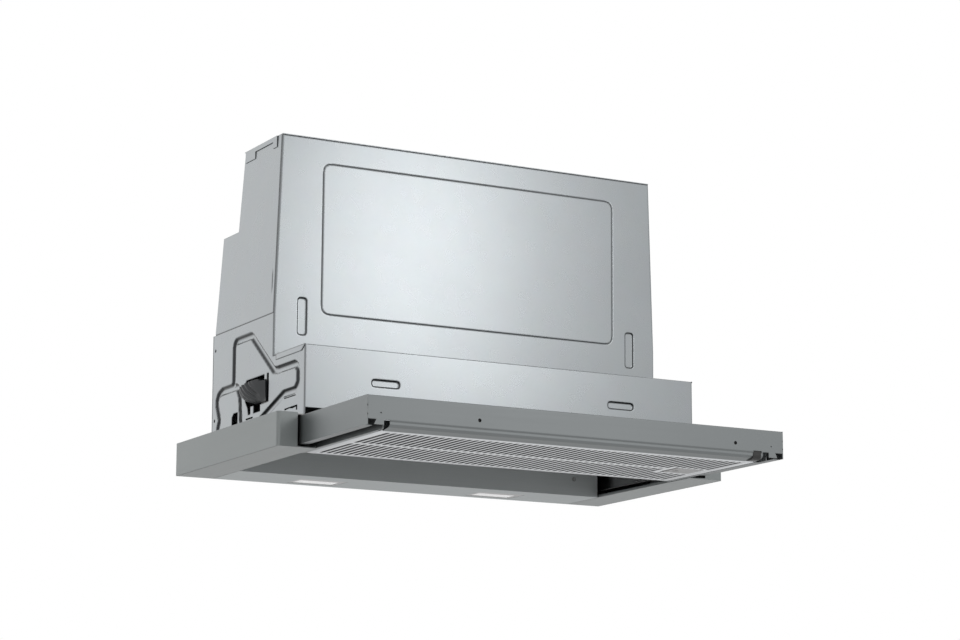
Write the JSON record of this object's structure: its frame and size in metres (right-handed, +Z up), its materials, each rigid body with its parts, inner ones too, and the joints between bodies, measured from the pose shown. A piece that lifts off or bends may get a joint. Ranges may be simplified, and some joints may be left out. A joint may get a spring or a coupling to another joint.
{
  "type": "telescopic range hood",
  "caption": "Built-in telescopic range hood with a stepped steel casing, blower, lamps, pull-out drawer and a slotted grease filter that swings down.",
  "frame": {"origin": "middle of the bottom back edge of the frame, on the wall plane", "axes": "+X to the right seen from the front, +Y into the wall, +Z up"},
  "size_m": [0.598, 0.4575, 0.3902],
  "materials": {
    "casing_sheet": "zinc-coated sheet, faint spangle",
    "frame_steel": "satin stainless",
    "drawer_steel": "satin stainless",
    "runner_steel": "zinc plated",
    "deck_steel": "grey",
    "filter_aluminium": "satin",
    "filter_inner": "mesh",
    "latch_plastic": "satin",
    "clamp_plastic": "matt",
    "cap_plastic": "matt",
    "lamp_plastic": "satin",
    "lens_plastic": "frosted",
    "fan_plastic": "satin",
    "impeller_plastic": "satin",
    "motor_steel": "plated",
    "shaft_steel": "ground",
    "copper_winding": "varnished winding",
    "collar_plastic": "satin",
    "flap_plastic": "satin",
    "box_plastic": "satin",
    "capacitor_plastic": "gloss",
    "gland_rubber": "matt",
    "screw_steel": "zinc plated"
  },
  "bodies": {
    "hood": {"frame_left_rail": "frame_steel", "frame_right_rail": "frame_steel", "frame_rear_rail": "frame_steel", "deck_plate": "deck_steel", "frame_corner_brackets": "deck_steel", "lamp_housing_left": "lamp_plastic", "lamp_housing_right": "lamp_plastic", "lamp_lens_left": "lens_plastic", "lamp_lens_right": "lens_plastic", "runner_left_fixed": "runner_steel", "runner_right_fixed": "runner_steel", "lower_front_panel": "casing_sheet", "lower_left_panel": "casing_sheet", "lower_right_panel": "casing_sheet", "lower_rear_panel": "casing_sheet", "upper_front_panel": "casing_sheet", "upper_left_panel": "casing_sheet", "upper_right_panel": "casing_sheet", "middle_rear_panel": "casing_sheet", "upper_rear_panel": "casing_sheet", "top_panel": "casing_sheet", "cable_gland": "gland_rubber", "scroll_left": "fan_plastic", "scroll_right": "fan_plastic", "inlet_ring_left": "fan_plastic", "inlet_ring_right": "fan_plastic", "motor_can": "motor_steel", "motor_stator": "copper_winding", "motor_bracket": "motor_steel", "outlet_collar": "collar_plastic", "flap_pin": "shaft_steel", "capacitor": "capacitor_plastic", "control_box": "box_plastic", "control_box_lid": "box_plastic", "drawer_switch": "box_plastic", "clamp_brackets": "deck_steel", "clamp_pins": "shaft_steel", "casing_screws": "screw_steel"},
    "drawer": {"drawer_front": "drawer_steel", "drawer_left_wall": "drawer_steel", "drawer_right_wall": "drawer_steel", "filter_rail_left": "drawer_steel", "filter_rail_right": "drawer_steel", "drawer_rear_bar": "drawer_steel", "front_lip_cap": "cap_plastic", "runner_left_drawer": "runner_steel", "runner_right_drawer": "runner_steel"},
    "filter": {"filter_grille": "filter_aluminium", "filter_mesh": "filter_inner", "filter_top_grid": "filter_aluminium"},
    "latch": {"filter_latch": "latch_plastic"},
    "left_middle_runner": {"runner_left_middle": "runner_steel"},
    "right_middle_runner": {"runner_right_middle": "runner_steel"},
    "fan": {"impeller": "impeller_plastic", "motor_shaft": "shaft_steel"},
    "front_flap": {"flap_front": "flap_plastic"},
    "rear_flap": {"flap_rear": "flap_plastic"},
    "left_clamp": {"clamp_cam_left": "clamp_plastic"},
    "right_clamp": {"clamp_cam_right": "clamp_plastic"},
    "plunger": {"switch_plunger": "box_plastic"}
  },
  "joints": [
    {"name": "drawer_slide", "type": "slide", "parent": "hood", "child": "drawer", "axis": [0, -1, 0], "range_m": [-0.1675, 0]},
    {"name": "left_runner_slide", "type": "slide", "parent": "hood", "child": "left_middle_runner", "axis": [0, -1, 0], "range_m": [-0.084, 0]},
    {"name": "right_runner_slide", "type": "slide", "parent": "hood", "child": "right_middle_runner", "axis": [0, -1, 0], "range_m": [-0.084, 0]},
    {"name": "filter_swing", "type": "hinge", "parent": "drawer", "child": "filter", "pos_m": [-0.236, -0.3443, 0.0045], "axis": [0, 1, 0], "range_deg": [0, 75]},
    {"name": "latch_slide", "type": "slide", "parent": "filter", "child": "latch", "axis": [-1, 0, 0], "range_m": [0, 0.004], "stiffness_N_per_m": 300, "springref_m": -0.004},
    {"name": "fan_spin", "type": "hinge", "parent": "hood", "child": "fan", "pos_m": [0, -0.122, 0.235], "axis": [1, 0, 0], "continuous": true},
    {"name": "front_flap_swing", "type": "hinge", "parent": "hood", "child": "front_flap", "pos_m": [0, -0.117, 0.368], "axis": [-1, 0, 0], "range_deg": [0, 75]},
    {"name": "rear_flap_swing", "type": "hinge", "parent": "hood", "child": "rear_flap", "pos_m": [0, -0.117, 0.368], "axis": [1, 0, 0], "range_deg": [0, 75]},
    {"name": "left_clamp_swing", "type": "hinge", "parent": "hood", "child": "left_clamp", "pos_m": [-0.252, -0.17, 0.086], "axis": [0, 0, 1], "range_deg": [0, 14]},
    {"name": "right_clamp_swing", "type": "hinge", "parent": "hood", "child": "right_clamp", "pos_m": [0.252, -0.17, 0.086], "axis": [0, 0, -1], "range_deg": [0, 14]},
    {"name": "plunger_press", "type": "slide", "parent": "hood", "child": "plunger", "axis": [0, 1, 0], "range_m": [0, 0.002], "stiffness_N_per_m": 300, "springref_m": -0.002}
  ],
  "couplings": [
    {"joint": "left_runner_slide", "follows": "drawer_slide", "ratio": 0.5},
    {"joint": "right_runner_slide", "follows": "drawer_slide", "ratio": 0.5}
  ]
}
